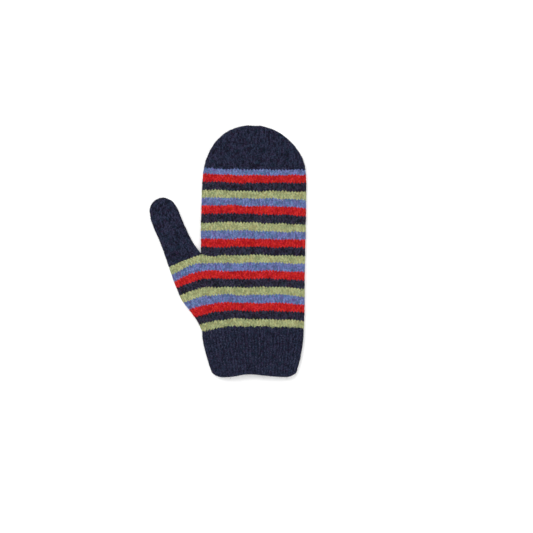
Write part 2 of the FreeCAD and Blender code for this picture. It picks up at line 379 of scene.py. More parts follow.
def mouth_shape(x, row):
    """The wavy edge of the cuff's mouth and its two rounded corners, fading up the cuff."""
    down_cuff = max(-row / CUFF_COURSES, 0)
    late = max((down_cuff - 0.4) / 0.6, 0) ** 2
    spread = np.where(x < MOUTH_WAVE_X, 13, 23)
    wave = MOUTH_WAVE * down_cuff ** 3 * np.exp(-((x - MOUTH_WAVE_X) / spread) ** 2)
    from_left = x - side_x(CUFF_LEFT, level(row))
    from_right = side_x(CUFF_RIGHT, level(row)) - x
    bends = [np.clip((CORNER_SPAN - side) / CORNER, 0, 0.97) for side in (from_left, from_right)]
    return wave + late * sum(CORNER * (1 - np.sqrt(1 - bend ** 2)) for bend in bends)


LINE_STEP = 0.5        # between the points of a row line


def hand_line(row):
    """A row across the hand, from left to right."""
    x = np.arange(LOW[0] - 12, HIGH[0] + 10, LINE_STEP)
    y = level(row) + drape(x, row)
    if row < 0:
        y = y + mouth_shape(x, row)
    return np.stack([x, y], 1)


def thumb_levels():
    """How far up the thumb its rows are, to its tip."""
    top = (np.array(TIP_CENTRE) - THUMB_ORIGIN) @ ALONG_THUMB + TIP_RADIUS - EDGE - JUST_INSIDE

    def height(tau):
        return faces_at(THUMB, THUMB_ORIGIN + tau[:, None] * ALONG_THUMB)[0]

    return climb(0.15, top, height)


THUMB_LEVELS = thumb_levels()
LAST_THUMB_ROW = len(THUMB_LEVELS) - 1


def thumb_line(row):
    """A row across the thumb, counted from where it leaves the hand."""
    arch, tilt, rows_bent = 0.9, 1.4, 8
    across = np.arange(-26, 26, LINE_STEP)
    side = across / THUMB_HALF
    bent = 1 - min(max(row / rows_bent, 0), 1)
    up = float(np.interp(row, range(LAST_THUMB_ROW + 1), THUMB_LEVELS)) + min(row, 0) * COURSE
    up = up + bent * (arch * (1 - side ** 2) - tilt * side)
    return THUMB_ORIGIN + up[:, None] * ALONG_THUMB + across[:, None] * ACROSS_THUMB


# ------------------------------
# Tubes of fabric


class Tube:
    """A knitted tube, as a table of closed row lines round it, SUB to a course.

    Each row line starts at the left fold, runs over the upper face to the right fold and comes
    back along the lower face.  A place on it is a length from the left fold.
    """

    PLAN = 150             # points across a row line, and
    ROUND = 512            # round it

    def __init__(self, first, last, line, outline, middle):
        """Rows first to last, where line(row) runs across the outline and middle is in the tube."""
        self.first = first
        self.last = last
        rows = np.arange(round(first * SUB), round(last * SUB) + 1) / SUB
        lines = [line(row) for row in rows]
        count = len(lines[0])
        depth = depth_inside(outline, np.concatenate(lines)).reshape(len(rows), count) - EDGE
        spans = []
        for points, inset in zip(lines, depth):
            start, stop = self.ends(points, inset, middle)
            share = (1 - np.cos(np.pi * np.linspace(0, 1, self.PLAN))) / 2
            place = start + (stop - start) * share
            steps = np.arange(count)
            spans.append(np.stack([np.interp(place, steps, points[:, k]) for k in (0, 1)], 1))
        plan = np.concatenate(spans)
        upper, lower = (side.reshape(len(rows), -1) for side in faces_at(outline, plan))
        self.tables = []
        self.marks = []
        for flat, top, bottom in zip(spans, upper, lower):
            self.add_row(flat, top, bottom)
        self.points = np.array(self.tables)
        self.normals = self.find_normals()

    def ends(self, points, inset, middle):
        """Where a row line enters and leaves the fabric, as fractional steps along it."""
        inside = np.nonzero(inset > 0)[0]
        if len(inside) == 0:
            peak, speck = int(np.argmax(inset)), 0.05
            return peak - speck, peak + speck
        if middle is None:
            first, last = inside[0], inside[-1]
        else:
            seed = int(np.argmin(np.hypot(*(points - middle(points)).T)))
            if inset[seed] <= 0:
                seed = int(inside[np.argmin(abs(inside - seed))])
            outside = np.nonzero(inset <= 0)[0]
            first = outside[outside < seed].max() + 1 if (outside < seed).any() else 0
            last = outside[outside > seed].min() - 1 if (outside > seed).any() else len(inset) - 1
        start = first - inset[first] / (inset[first] - inset[first - 1])
        stop = last + inset[last] / (inset[last] - inset[last + 1])
        return start, stop

    def add_row(self, flat, top, bottom):
        """Tables one closed row line, and the lengths at which it passes its landmarks."""
        upper = np.column_stack([flat, top])
        lower = np.column_stack([flat, bottom])[::-1]
        closed = np.concatenate([upper, lower[1:]])
        length = np.concatenate([[0], np.cumsum(np.linalg.norm(np.diff(closed, axis=0), axis=1))])
        whole = length[-1]
        where = np.arange(self.ROUND) / self.ROUND * whole
        self.tables.append(np.stack([np.interp(where, length, closed[:, k]) for k in range(3)], 1))
        turn = len(upper) - 1
        x, above, below = flat[:, 0], length[:turn + 1], (whole - length[turn:])[::-1]
        self.marks.append({
            "left": 0.0,
            "front_crease": float(np.interp(CREASE_X, x, above)),
            "front": float(np.interp(CENTRE_X, x, above)),
            "right": float(length[turn]),
            "back": float(whole - np.interp(CENTRE_X, x, below)),
            "back_crease": float(whole - np.interp(CREASE_X, x, below)),
            "end": float(whole),
            "front_again": float(whole + np.interp(CENTRE_X, x, above)),
        })

    def find_normals(self):
        """The fabric's outward normals at the tables' points."""
        along = np.roll(self.points, -1, axis=1) - np.roll(self.points, 1, axis=1)
        up = np.gradient(self.points, axis=0)
        normal = np.cross(along, up)
        size = np.linalg.norm(normal, axis=2, keepdims=True)
        return normal / np.maximum(size, 1e-9)

    def index(self, row):
        """The table row nearest to a row."""
        return int(np.clip(round((row - self.first) * SUB), 0, len(self.points) - 1))

    def read(self, table, index, place):
        """Values of a table's row at places along it."""
        whole = self.marks[index]["end"]
        step = np.mod(place / whole, 1) * self.ROUND
        low = step.astype(int) % self.ROUND
        part = (step - np.floor(step))[:, None]
        return table[index, low] * (1 - part) + table[index, (low + 1) % self.ROUND] * part

    def map_row(self, knots, index, home, place):
        """Carries places on the home row to the row at index, keeping each knot's own anchor."""
        places = np.array([spot for spot, _ in knots])
        moved = [spot - self.marks[home][mark] + self.marks[index][mark] for spot, mark in knots]
        moved = np.maximum.accumulate(moved)
        return np.interp(place, places, moved)

    def fabric(self, row, knots, place, rise, lift):
        """Points and normals of the fabric at places on a row, rise courses up, lift mm out."""
        home = self.index(row)
        tallest_loop = 1.15 * LOOP_REACH
        reach = int(math.ceil(tallest_loop * SUB)) + 1
        centre = (row - self.first) * SUB
        low = int(np.clip(math.floor(centre) - reach, 0, len(self.points) - 2))
        high = int(np.clip(math.ceil(centre) + reach, 1, len(self.points) - 1))
        layers = [
            (self.read(self.points, index, spot), self.read(self.normals, index, spot))
            for index in range(low, high + 1)
            for spot in [self.map_row(knots, index, home, place)]
        ]
        points = np.array([layer[0] for layer in layers])
        normals = np.array([layer[1] for layer in layers])
        step = np.clip(centre + rise * SUB - low, 0, high - low - 1e-6)
        under = step.astype(int)
        part = (step - under)[:, None]
        pick = np.arange(len(place))
        point = points[under, pick] * (1 - part) + points[under + 1, pick] * part
        normal = normals[under, pick] * (1 - part) + normals[under + 1, pick] * part
        normal /= np.maximum(np.linalg.norm(normal, axis=1, keepdims=True), 1e-9)
        return point + normal * lift[:, None], normal


def hand_middle(points):
    """The points of the hand's middle line level with points."""
    return np.array([CENTRE_X, 0]) + points * (0, 1)


def thumb_middle(points):
    """The points of the thumb's middle line level with points."""
    return THUMB_ORIGIN + ((points - THUMB_ORIGIN) @ ALONG_THUMB)[:, None] * ALONG_THUMB


palm_tube = Tube(-CUFF_COURSES - 1, CROTCH_ROW + 1, hand_line, WHOLE, None)
hand_tube = Tube(CROTCH_ROW - 2, LAST_ROW, hand_line, HAND, hand_middle)
thumb_tube = Tube(-2, LAST_THUMB_ROW, thumb_line, THUMB, thumb_middle)

# ------------------------------
# Stitches


def lay(start, stop, split, first_mark, last_mark):
    """Edges of the stitches from start to stop, kept a wale apart from both ends up to split."""
    count = max(1, int(round((stop - start) / WALE)))
    loose = 4
    ahead = int(np.clip(round((split - start) / WALE) - loose / 2, 0, max(count - loose, 0)))
    behind = max(count - ahead - loose, 0)
    edges = [start + WALE * k for k in range(ahead + 1)]
    tail = [stop - WALE * k for k in range(behind, -1, -1)]
    middle = list(np.linspace(edges[-1], tail[0], count - ahead - behind + 1)[1:-1])
    knots = [(edge, first_mark) for edge in edges] + [(edge, last_mark) for edge in tail]
    return edges + middle + tail, knots


def join_runs(runs):
    """One closed course from its runs of stitches."""
    edges, knots = list(runs[0][0]), list(runs[0][1])
    for more_edges, more_knots in runs[1:]:
        edges += more_edges[1:]
        knots += more_knots[1:]
    return np.array(edges), knots


def gusset_course(marks):
    """Stitches laid from the middle of each face and from the left fold, as in palm and gusset."""
    return join_runs([
        lay(marks["left"], marks["front"], marks["front_crease"], "left", "front"),
        lay(marks["front"], marks["back"], marks["right"], "front", "back"),
        lay(marks["back"], marks["end"], marks["back_crease"], "back", "end"),
    ])


def hand_course(marks):
    """Stitches laid from the middle of each face, as above the thumb."""
    return join_runs([
        lay(marks["front"], marks["back"], marks["right"], "front", "back"),
        lay(marks["back"], marks["front_again"], marks["end"], "back", "front_again"),
    ])


def thumb_course(marks):
    """Stitches laid from the left fold right round, as in the thumb."""
    return join_runs([lay(marks["left"], marks["end"], marks["right"], "left", "end")])


RIB_COLUMNS = 33       # pairs of a knit and a purl wale on each face
PURL_SHARE = 0.3       # of the width of a pair


def rib_knots(marks):
    """The rib is anchored at its side folds alone."""
    return [(marks[name], name) for name in ("left", "right", "end")]


def rib_course(marks):
    """Knit and purl wales by turns, the same number in every course."""
    edges = []
    for start, stop in (("left", "right"), ("right", "end")):
        pairs = np.linspace(marks[start], marks[stop], RIB_COLUMNS + 1)
        for left, right in zip(pairs, pairs[1:]):
            edges += [left, left + (right - left) * (1 - PURL_SHARE)]
    edges.append(marks["end"])
    return np.array(edges), rib_knots(marks)


def wander(count, size):
    """A closed run of random values."""
    return rng.normal(0, size, count)


def along_course(values, place):
    """A closed run of values, drawn out smoothly along a course."""
    count = len(values)
    low = np.floor(place).astype(int)
    part = place - low
    part = part * part * (3 - 2 * part)
    return values[low % count] * (1 - part) + values[(low + 1) % count] * part


UNEVEN_LEAN = 0.15
UNEVEN_REACH = 0.07
UNEVEN_RISE = 0.08
UNEVEN_LIFT = 0.1
KNIT_RISE = 0.28       # how far a knit wale of the rib stands out
PURL_SINK = 1.05       # how far a purl wale lies back
RIB_DEEPENS = 3        # courses over which the rib gets its full depth


def course(tube, row, edges, knots, samples, ribbed=False):
    """The yarn of one course: its middle line, the fabric's normals, and its place in stitches."""
    count = len(edges) - 1
    phase = np.arange(samples) / samples
    stitch = np.repeat(np.arange(count), samples)
    turn = np.tile(phase, count) * 2 * np.pi
    width = np.diff(edges)[stitch]
    lean = LEG_LEAN * (1 + wander(count, UNEVEN_LEAN)[stitch])
    place = edges[stitch] + width * (turn / (2 * np.pi) + lean * np.sin(2 * turn))
    spot = stitch + turn / (2 * np.pi)
    reach = LOOP_REACH * (1 + along_course(wander(count, UNEVEN_REACH), spot))
    rise = -reach * np.cos(turn) + along_course(wander(count, UNEVEN_RISE), spot)
    lift = -LOOP_DEPTH * np.cos(2 * turn) + along_course(wander(count, UNEVEN_LIFT), spot)
    if ribbed:
        ridge = np.where(stitch % 2 == 1, -PURL_SINK, KNIT_RISE)
        lift = lift + ridge * np.sin(turn / 2) * min(-row / RIB_DEEPENS, 1)
        rise = np.maximum(rise, -CUFF_COURSES - row)
    middle, normal = tube.fabric(row, knots, place, rise, lift)
    return middle, normal, spot


class Heap:
    """Grows one mesh from many parts.

    Each vertex has four values for the wool's material: the tone, from dark to pale, which holds the
    yarn's random tone and also painted shade and painted light; the place along the yarn, in
    stitches;
    the place round the yarn, in turns; and the chance of a coloured fleck.
    """

    LABELS = ("tone", "twist", "turn", "fleck")
    ABOVE_FLOOR = 0.03

    def __init__(self):
        self.vertices, self.quads, self.tris = [], [], []
        self.values = {label: [] for label in self.LABELS}
        self.size = 0

    def add(self, vertices, quads=None, tris=None, tone=0.0, twist=0.0, turn=0.0, fleck=0.0):
        """Takes in a part's vertices and faces, with one value or one to a vertex for the wool."""
        count = len(vertices)
        self.vertices.append(vertices)
        for label, value in zip(self.LABELS, (tone, twist, turn, fleck)):
            self.values[label].append(np.broadcast_to(np.asarray(value, float), (count,)))
        if quads is not None and len(quads):
            self.quads.append(quads + self.size)
        if tris is not None and len(tris):
            self.tris.append(tris + self.size)
        self.size += count

    def build(self, name, material):
        """The finished object, in the scene."""
        vertices = np.concatenate(self.vertices)
        vertices[:, 2] = np.maximum(vertices[:, 2], self.ABOVE_FLOOR)
        quads = np.concatenate(self.quads) if self.quads else np.zeros((0, 4), int)
        tris = np.concatenate(self.tris) if self.tris else np.zeros((0, 3), int)
        corners = np.concatenate([quads.ravel(), tris.ravel()]).astype(np.int32)
        sizes = np.concatenate([np.full(len(quads), 4), np.full(len(tris), 3)]).astype(np.int32)
        starts = np.concatenate([[0], np.cumsum(sizes)[:-1]]).astype(np.int32)
        mesh = bpy.data.meshes.new(name)
        mesh.vertices.add(len(vertices))
        mesh.vertices.foreach_set("co", (vertices * MM).astype(np.float32).ravel())
        mesh.loops.add(len(corners))
        mesh.loops.foreach_set("vertex_index", corners)
        mesh.polygons.add(len(sizes))
        mesh.polygons.foreach_set("loop_start", starts)
        mesh.polygons.foreach_set("use_smooth", np.ones(len(sizes), bool))
        for label in self.LABELS:
            layer = mesh.attributes.new(label, "FLOAT", "POINT")
            layer.data.foreach_set("value", np.concatenate(self.values[label]).astype(np.float32))
        mesh.update(calc_edges=True)
        mesh.validate()
        mesh.materials.append(material)
        piece = bpy.data.objects.new(name, mesh)
        bpy.context.scene.collection.objects.link(piece)
        return piece


FLATNESS = 0.92        # the yarn's thickness, as a share of its width


def sweep(heap, middle, normal, radius, tone=0.0, twist=0.0, fleck=0.0, sides=6):
    """A closed yarn along a closed middle line; gives back its sideways and outward directions."""
    along = np.roll(middle, -1, axis=0) - np.roll(middle, 1, axis=0)
    along /= np.maximum(np.linalg.norm(along, axis=1, keepdims=True), 1e-9)
    side = np.cross(along, normal)
    side /= np.maximum(np.linalg.norm(side, axis=1, keepdims=True), 1e-9)
    up = np.cross(side, along)
    turn = np.arange(sides) / sides * 2 * np.pi
    ring = side[:, None] * np.cos(turn)[:, None] + FLATNESS * up[:, None] * np.sin(turn)[:, None]
    points = middle[:, None] + ring * np.asarray(radius).reshape(-1, 1, 1)
    count = len(middle)
    here = np.arange(count)[:, None] * sides
    after = (np.arange(count)[:, None] + 1) % count * sides
    step, next_step = np.arange(sides)[None], (np.arange(sides)[None] + 1) % sides
    quads = np.stack([here + step, after + step, after + next_step, here + next_step], -1)
    tone, twist, fleck = (
        np.repeat(np.broadcast_to(value, count), sides) for value in (tone, twist, fleck)
    )
    turn = np.tile(turn / (2 * np.pi), count)
    heap.add(points.reshape(-1, 3), quads.reshape(-1, 4), None, tone, twist, turn, fleck)
    return side, up


UNEVEN_FELT = 0.12
FELT_SHADE_TONE = -3.2       # painted shade: the felt is made dark to stand for the shade between the loops


def matting(heap, tube, first, last, outer=0.2, inner=-0.95, around=220):
    """The matted wool between two rows of a tube: a thin closed ring of uneven felt, painted dark as
    shade.
    """
    low, high = tube.index(first), tube.index(last)
    where = np.arange(around) / around
    rings = []
    for index in range(low, high + 1):
        place = where * tube.marks[index]["end"]
        rings.append((tube.read(tube.points, index, place), tube.read(tube.normals, index, place)))
    points = np.array([ring[0] for ring in rings])
    normals = np.array([ring[1] for ring in rings])
    levels = len(points)
    uneven = rng.normal(0, UNEVEN_FELT, (2, levels, around, 1))
    outside = points + normals * (outer + uneven[0])
    inside = points + normals * (inner + uneven[1])
    shell = np.concatenate([outside, inside[::-1]])
    rows = np.arange(2 * levels)[:, None]
    step = np.arange(around)[None]
    after = (rows + 1) % (2 * levels)
    quads = np.stack([
        rows * around + step, rows * around + (step + 1) % around,
        after * around + (step + 1) % around, after * around + step,
    ], -1)
    heap.add(shell.reshape(-1, 3), quads.reshape(-1, 4), tone=FELT_SHADE_TONE)


def last_loops(heap, tube):
    """The yarn drawn through the last loops of a closed end, pulled tight into a small knot."""
    every, upright = 8, 0.3
    ring = tube.points[-1][::every]
    centre = ring.mean(0)
    for share in (0.75, 0.3):
        middle = centre + (ring - centre) * share
        normal = tube.normals[-1][::every] * upright + np.array((0.0, 0.0, 1.0))
        normal /= np.linalg.norm(normal, axis=1, keepdims=True)
        sweep(heap, middle, normal, YARN)


HAIR_KNOTS = 3         # points along a hair
HAIR_TONE = (0.5, 1.8)
HAIR_CURL = 0.45
HAIR_LEAVES = 0.25     # how far a hair stands off at its tip
HAIR_TAPER = 0.75


def fibres(heap, frames, count, length, tone=HAIR_TONE, radius=0.05, lie=0.4):
    """Curved hairs that leave the yarn and lie down over the fabric, as tapered closed tubes."""
    middle, normal, side, up = frames
    pick = rng.integers(0, len(middle), count)
    turn = rng.uniform(0.1 * np.pi, 0.9 * np.pi, count)[:, None]
    out = side[pick] * np.cos(turn) + up[pick] * np.sin(turn)
    face = normal[pick]
    root = middle[pick] + out * (YARN * 0.88)
    flat = rng.normal(size=(count, 3))
    flat -= (flat * face).sum(1, keepdims=True) * face
    flat /= np.linalg.norm(flat, axis=1, keepdims=True)
    bend = np.cross(face, flat) * rng.normal(0, HAIR_CURL, (count, 1))
    size = length * rng.lognormal(0, 0.4, (count, 1))
    lift = rng.uniform(0.0, lie, (count, 1)) / np.maximum(size / 2, 1)
    bend = bend / np.maximum(size / 3, 1)
    # A hair that crosses a side fold wraps round it.
    sideways = np.sqrt(np.maximum(1 - face[:, 2:] ** 2, 0.01))
    round_fold = np.clip(abs(flat[:, 2:]) / sideways, 0, 1)
    wrap = FOLD + YARN
    places = np.linspace(0, 1, HAIR_KNOTS)
    knots = []
    for step in places:
        turned = size * step / wrap
        over = round_fold * wrap * np.sin(turned) + (1 - round_fold) * size * step
        under = round_fold * wrap * (1 - np.cos(turned))
        raised = lift * size * step * (1 - 0.7 * step)
        knots.append(
            root + flat * over - face * under + bend * size * step ** 2 + out * HAIR_LEAVES * step
            + face * raised
        )
    spine = np.stack(knots, 1)
    along = np.gradient(spine, axis=1)
    along /= np.maximum(np.linalg.norm(along, axis=2, keepdims=True), 1e-9)
    first = np.cross(along, face[:, None])
    first /= np.maximum(np.linalg.norm(first, axis=2, keepdims=True), 1e-9)
    second = np.cross(along, first)
    thick = radius * rng.lognormal(0, 0.3, (count, 1)) * (1 - HAIR_TAPER * places ** 2)
    corners = [
        spine + thick[..., None] * (first * math.cos(angle) + second * math.sin(angle))
        for angle in (0.0, 2 * math.pi / 3, 4 * math.pi / 3)
    ]
    points = np.stack(corners, 2)
    start = np.arange(count) * HAIR_KNOTS * 3
    base = start[:, None, None] + np.arange(HAIR_KNOTS - 1)[None, :, None] * 3
    step = np.arange(3)[None, None]
    after = (step + 1) % 3
    quads = np.stack([base + step, base + after, base + 3 + after, base + 3 + step], -1)
    tip = start + (HAIR_KNOTS - 1) * 3
    tris = np.concatenate([
        np.stack([start, start + 2, start + 1], 1), np.stack([tip, tip + 1, tip + 2], 1),
    ])
    heap.add(
        points.reshape(-1, 3), quads.reshape(-1, 4), tris,
        tone=np.repeat(rng.normal(*tone, count), HAIR_KNOTS * 3),
        fleck=np.repeat(rng.normal(0, 1, count), HAIR_KNOTS * 3),
    )


def strays(heap, frames, count):
    """A few long pale hairs."""
    fibres(heap, frames, count, length=6.0, tone=(6.0, 1.0), radius=0.07, lie=0.3)


YARN_TONES = ((1, 0.3), (2, 0.9), (4, 2.4))    # changes of tone to a stitch, and their size
PALEST_YARN = 1.5
UNEVEN_YARN = (0.06, 0.05)    # slow and quick changes of the yarn's thickness
UNEVEN_FLECK = 0.8
RIB_YARN = 0.9         # the rib's yarn, as a share of the rest's thickness
RIB_TONES = 0.7
# Painted shade darkens the rib's sunken purl wales and painted light brightens its raised knit wales.
PURL_SHADE_TONE = -1.6
KNIT_LIGHT_TONE = 0.6


def knit(heap, tube, rows, lay_course, samples, ribbed=False):
    """All the courses of one piece; gives back their frames, for the fibres to grow from."""
    frames = []
    for row in rows:
        edges, knots = lay_course(tube.marks[tube.index(row)])
        middle, normal, spot = course(tube, row, edges, knots, samples, ribbed)
        count = len(edges) - 1
        slow, quick = (wander(count, size) for size in UNEVEN_YARN)
        radius = YARN * (1 + (along_course(slow, spot) + along_course(quick, spot * 3)))
        tone = sum(
            along_course(wander(parts * count, size), spot * parts) for parts, size in YARN_TONES
        )
        tone = np.minimum(tone, PALEST_YARN)
        if ribbed:
            radius = radius * RIB_YARN
            # Painted shade on the sunken purl wales, painted light on the knit wales that stand out.
            tone = RIB_TONES * tone + np.where(np.floor(spot) % 2 == 1, PURL_SHADE_TONE, KNIT_LIGHT_TONE)
        fleck = along_course(wander(count, UNEVEN_FLECK), spot * 2)
        side, up = sweep(heap, middle, normal, radius, tone, spot, fleck, sides=5 if ribbed else 6)
        frames.append((middle, normal, side, up))
    return [np.concatenate(part) for part in zip(*frames)]


# ------------------------------
# Materials


def wool(name, shades):
    """Felted wool: mottled and flecked colour, ply twist, fine fibre relief and a faint sheen."""
    dark, middle, light, pale, first_fleck, second_fleck = shades
    material = bpy.data.materials.new(name)
    material.use_nodes = True
    nodes, links = material.node_tree.nodes, material.node_tree.links
    shader = nodes["Principled BSDF"]
    shader.inputs["Roughness"].default_value = 1.0
    shader.inputs["Specular IOR Level"].default_value = 0.05
    shader.inputs["Sheen Weight"].default_value = 0.04
    shader.inputs["Sheen Roughness"].default_value = 0.5
    shader.inputs["Sheen Tint"].default_value = (*light, 1)

    def node(kind, **settings):
        made = nodes.new(kind)
        for key, value in settings.items():
            setattr(made, key, value)
        return made

    place = node("ShaderNodeTexCoord")

    def noise(scale, detail, vector=None):
        """Noise with so many cells a metre of the mitten, or to a unit of the vector."""
        made = node("ShaderNodeTexNoise")
        made.inputs["Scale"].default_value = scale
        made.inputs["Detail"].default_value = detail
        made.inputs["Roughness"].default_value = 0.62
        links.new(vector or place.outputs["Object"], made.inputs["Vector"])
        return made.outputs["Fac"]

    def attribute(label):
        return node("ShaderNodeAttribute", attribute_name=label).outputs["Fac"]

    def weighted(parts, constant=0.0):
        """The sum of sockets, each times its weight, and a constant."""
        total = constant
        for socket, weight in parts:
            made = node("ShaderNodeMath", operation="MULTIPLY_ADD")
            links.new(socket, made.inputs[0])
            made.inputs[1].default_value = weight
            if isinstance(total, float):
                made.inputs[2].default_value = total
            else:
                links.new(total, made.inputs[2])
            total = made.outputs[0]
        return total

    def ramp(value, stops):
        made = node("ShaderNodeValToRGB")
        elements = made.color_ramp.elements
        while len(elements) < len(stops):
            elements.new(0.5)
        for element, (position, colour, alpha) in zip(elements, stops):
            element.position = position
            element.color = (*colour, alpha)
        links.new(value, made.inputs["Fac"])
        return made.outputs

    # Fibres run slantwise round the yarn.
    turn, twist = attribute("turn"), attribute("twist")
    fibres_round, fibres_slant, changes_along = 9.0, 18.0, 2.5
    along_fibres = node("ShaderNodeCombineXYZ")
    slant = weighted([(turn, fibres_round), (twist, fibres_slant)])
    links.new(slant, along_fibres.inputs["X"])
    links.new(weighted([(twist, changes_along)]), along_fibres.inputs["Y"])
    fibre = noise(1.0, 2.0, along_fibres.outputs["Vector"])

    # The colour's lightness, 0 to 1: patches of mixed wool, fine grain and the tone attribute, which
    # holds the yarn's own random tone, painted shade on the felt and purl wales and painted light on
    # knit wales.
    broad, fine, average, lightest = 3.5, 0.8, 0.43, 0.74
    grain = [(noise(820.0, 3.0), broad), (noise(2300.0, 2.0), fine), (fibre, fine)]
    lightness_mix = node("ShaderNodeMath", operation="MINIMUM")
    links.new(weighted(grain, average - broad / 2 - fine), lightness_mix.inputs[0])
    lightness_mix.inputs[1].default_value = lightest
    lightness_mix = weighted([(lightness_mix.outputs[0], 1.0), (attribute("tone"), 0.11)])
    colour = ramp(lightness_mix, [
        (0.0, dark, 1), (0.45, middle, 1), (0.72, light, 1), (0.9, light, 1), (1.0, pale, 1),
    ])
    speck = weighted([(noise(1500.0, 2.0), 1.0), (attribute("fleck"), 0.06)])
    cover = 0.95
    flecks = ramp(speck, [
        (0.34, first_fleck, cover), (0.45, first_fleck, 0), (0.55, second_fleck, 0),
        (0.66, second_fleck, cover),
    ])
    mix = node("ShaderNodeMix", data_type="RGBA")
    share, under, over, mixed = mix.inputs[0], mix.inputs[6], mix.inputs[7], mix.outputs[2]
    links.new(flecks["Alpha"], share)
    links.new(colour["Color"], under)
    links.new(flecks["Color"], over)
    links.new(mixed, shader.inputs["Base Color"])

    # The relief: fuzz, single fibres and two plies that turn twice to a stitch.
    ply = node("ShaderNodeMath", operation="SINE")
    plies = turns = 4 * math.pi
    links.new(weighted([(turn, plies), (twist, turns)]), ply.inputs[0])
    bump = node("ShaderNodeBump")
    bump.inputs["Strength"].default_value = 0.8
    bump.inputs["Distance"].default_value = 0.00035
    relief = weighted([(noise(3200.0, 3.0), 0.45), (fibre, 0.9), (ply.outputs[0], 0.16)])
    links.new(relief, bump.inputs["Height"])
    links.new(bump.outputs["Normal"], shader.inputs["Normal"])
    return material


def srgb(*channels):
    """Linear colour from sRGB channels out of 255."""
    return np.array([
        c / 12.92 if c <= 0.04045 else ((c + 0.055) / 1.055) ** 2.4
        for c in (channel / 255 for channel in channels)
    ])


EXPOSURE = 0.8         # how much darker a wool is made than it looks under these lights


def shades(colour, pale, first_fleck, second_fleck, spread, bloom):
    """The dark, middle, light and palest tone of a wool and its two kinds of fleck.

    The spread is how far its tones go from its colour, and the bloom pales the light one.
    """
    base = srgb(*colour) * EXPOSURE
    tones = [base * (1 - spread), base, base * (1 + 1.5 * spread) + bloom]
    tones += [srgb(*other) * EXPOSURE for other in (pale, first_fleck, second_fleck)]
    return [tuple(float(channel) for channel in tone) for tone in tones]


WOOLS = {
    name: wool(f"{name}_wool", shades(*colours, spread=spread, bloom=bloom))
    for name, colours, spread, bloom in (
        ("navy", ((35, 38, 57), (120, 118, 124), (54, 40, 66), (32, 52, 70)), 0.84, 0.004),
        ("navy_stripe", ((41, 40, 57), (112, 106, 102), (62, 38, 60), (36, 56, 64)), 0.88, 0.004),
        ("green", ((167, 175, 127), (218, 218, 172), (128, 148, 104), (192, 172, 110)), 0.33, 0.03),
        ("red", ((194, 27, 34), (224, 96, 86), (156, 18, 40), (214, 60, 30)), 0.32, 0.018),
        ("blue", ((108, 121, 170), (180, 186, 214), (116, 84, 164), (74, 136, 176)), 0.45, 0.004),
    )
}

# ------------------------------
# The pieces

SAMPLES = 10      # points along a stitch
RIB_SAMPLES = 6
FIBRES_A_STITCH = 10
RIB_FIBRES = 0.38                      # fibres in the rib, as a share of the rest's
FIBRE_LENGTH = 1.7
RIB_FIBRE_LENGTH = 2.1
STRAYS_A_PIECE = 4


def fold_across(piece):
    """Bakes the piece's placement into its mesh."""
    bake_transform(piece)


def fold_thumb(piece):
    """Bakes the piece's placement into its mesh."""
    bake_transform(piece)


def fold_cuff(piece):
    fold_across(piece)


def fold_fingers(piece):
    fold_across(piece)


def ride_palm(piece):
    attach(piece, "palm")


def ride_fingers(piece):
    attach(piece, "fingers")


# Which motion each stripe below each number is given.
STRIPE_MOTIONS = (
    (2, fold_cuff),
    (4, ride_palm),
    (CROTCH_STRIPE, fold_thumb),
    (CROTCH_STRIPE + 1, ride_palm),
    (CROWN_STRIPE, fold_fingers),
    (STRIPE_COUNT, ride_fingers),
)


def motion(index):
    """The motion given to the stripe at an index."""
    return next(move for end, move in STRIPE_MOTIONS if index < end)


def finish_piece(name, heap, colour, node, move):
    """One visible piece: its mesh, wool and motion, and the node that it stands for."""
    look = "navy_stripe" if node.startswith("navy_stripe") else colour
    piece = heap.build(name, WOOLS[look])
    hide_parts(node)
    move(piece)


def knitted_piece(colour, node, tube, first, last, lay_course, move):
    """One length of yarn: its courses from row first to row last, felt and fibres."""
    heap = Heap()
    rows = np.arange(first, last) + 0.5
    frames = knit(heap, tube, rows, lay_course, SAMPLES)
    matting(heap, tube, first, last)
    if last == tube.last:
        last_loops(heap, tube)
    stitches = len(frames[0]) / SAMPLES
    fuzz = Heap() if last - first > 2 * COURSES_A_STRIPE else heap
    fibres(fuzz, frames, int(stitches * FIBRES_A_STITCH), FIBRE_LENGTH)
    strays(fuzz, frames, STRAYS_A_PIECE)
    finish_piece(f"{node}_knit", heap, colour, node, move)
    if fuzz is not heap:
        finish_piece(f"{node}_fuzz", fuzz, colour, node, move)


def cast_on_edge(heap):
    """The edge of the mouth: two yarns twisted round each other."""
    row = -CUFF_COURSES + 0.15
    thickness, rise, outward, lift = 0.62, 0.16, 0.1, 0.45
    turns = 2 * RIB_COLUMNS
    count = turns * 10
    marks = palm_tube.marks[palm_tube.index(row)]
    place = np.arange(count) / count * marks["end"]
    twist = np.arange(count) / count * turns
    for start in (0.0, 0.5):
        angle = (twist + start) * 2 * np.pi
        middle, normal = palm_tube.fabric(
            row, rib_knots(marks), place, rise * np.cos(angle), outward + lift * np.sin(angle))
        sweep(heap, middle, normal, thickness, twist=twist)


def cuff_piece():
    """The ribbed cuff, with its edge, its felt and its fibres."""
    heap, fuzz = Heap(), Heap()
    rows = np.arange(-CUFF_COURSES, 0) + 0.5
    frames = knit(heap, palm_tube, rows, rib_course, RIB_SAMPLES, ribbed=True)
    cast_on_edge(heap)
    matting(heap, palm_tube, -CUFF_COURSES + 0.25, 0, outer=-0.1, around=110)
    stitches = len(frames[0]) / RIB_SAMPLES
    fibres(fuzz, frames, int(stitches * FIBRES_A_STITCH * RIB_FIBRES), RIB_FIBRE_LENGTH)
    strays(fuzz, frames, STRAYS_A_PIECE)
    finish_piece("cuff_rib_knit", heap, "navy", "cuff_rib", fold_cuff)
    finish_piece("cuff_rib_fuzz", fuzz, "navy", "cuff_rib", fold_cuff)


